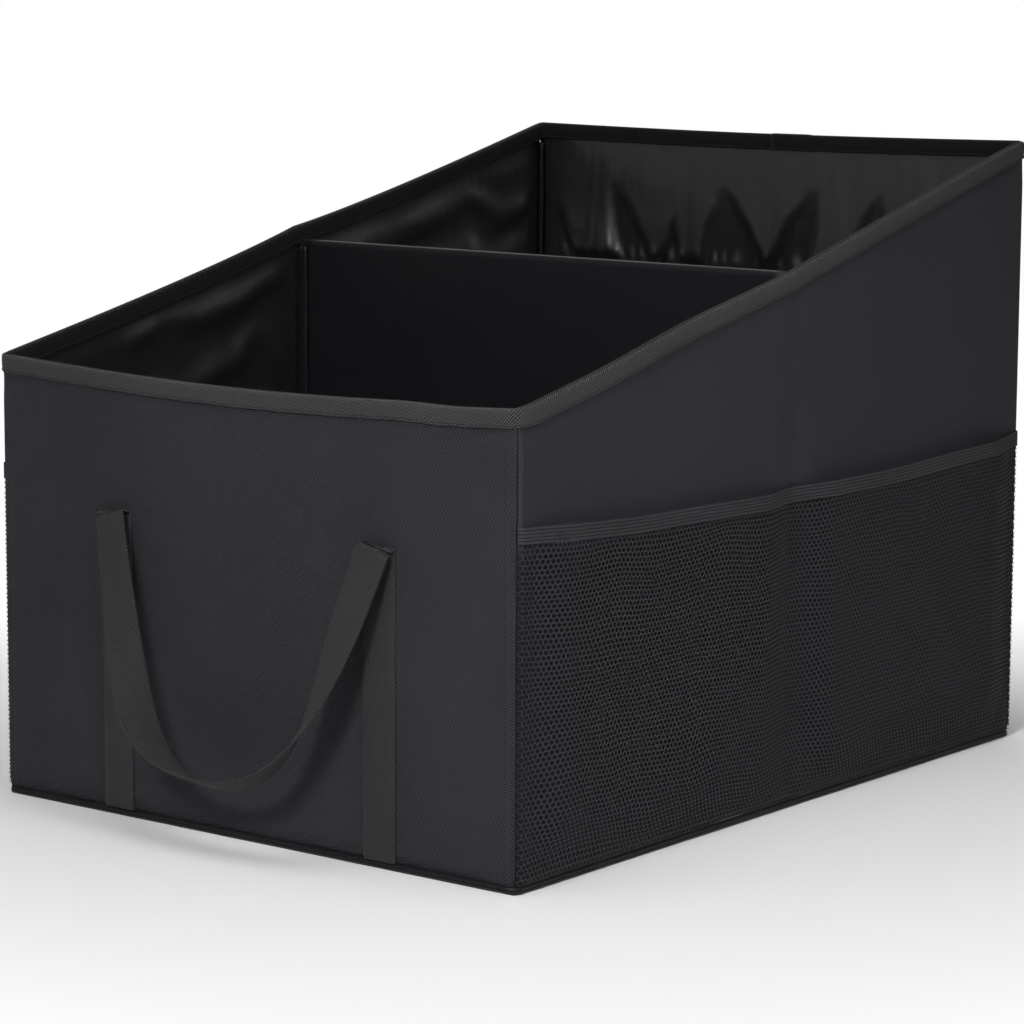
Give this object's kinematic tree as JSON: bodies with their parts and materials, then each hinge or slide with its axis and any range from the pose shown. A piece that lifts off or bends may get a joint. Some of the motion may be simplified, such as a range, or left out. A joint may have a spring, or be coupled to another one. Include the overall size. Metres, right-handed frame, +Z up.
{
  "type": "car trunk organizer",
  "caption": "Open cloth-covered box with a low front, a high back, a divider, side net pockets and webbing handles, for holding luggage and shopping in a car trunk.",
  "frame": {"origin": "middle of the underside, on the surface that the organizer stands on", "axes": "+Z up, +Y from the low front wall to the high back wall, +X to the right seen from the front"},
  "size_m": [0.4486, 0.6758, 0.4269],
  "materials": {
    "outer_cloth": "matt charcoal twill",
    "side_cloth": "matt charcoal fine weave",
    "lining": "shiny black thin cloth",
    "divider_cloth": "smooth dark coated cloth",
    "binding_tape": "ribbed black tape",
    "webbing": "coarse black webbing",
    "pocket_net": "black net",
    "elastic": "ribbed black elastic",
    "stiffener_board": "plain stiff board"
  },
  "bodies": {
    "root": {"front_panel": "outer_cloth", "back_panel": "outer_cloth", "left_panel": "side_cloth", "right_panel": "side_cloth", "base_panel": "outer_cloth", "base_welt": "binding_tape", "front_board": "stiffener_board", "back_board": "stiffener_board", "left_front_board": "stiffener_board", "left_rear_board": "stiffener_board", "right_front_board": "stiffener_board", "right_rear_board": "stiffener_board", "front_lining": "lining", "back_lining": "lining", "left_front_lining": "lining", "left_rear_lining": "lining", "right_front_lining": "lining", "right_rear_lining": "lining", "rim_binding": "binding_tape", "left_fold_tape": "binding_tape", "right_fold_tape": "binding_tape", "front_left_corner_tape": "binding_tape", "front_right_corner_tape": "binding_tape", "back_left_corner_tape": "binding_tape", "back_right_corner_tape": "binding_tape", "floor_cover": "lining", "floor_board_front": "stiffener_board", "floor_board_rear": "stiffener_board", "divider_cover": "divider_cloth", "divider_board": "stiffener_board", "front_handle": "webbing", "back_handle": "webbing", "left_net": "pocket_net", "right_net": "pocket_net", "left_elastic": "elastic", "right_elastic": "elastic"}
  },
  "joints": []
}
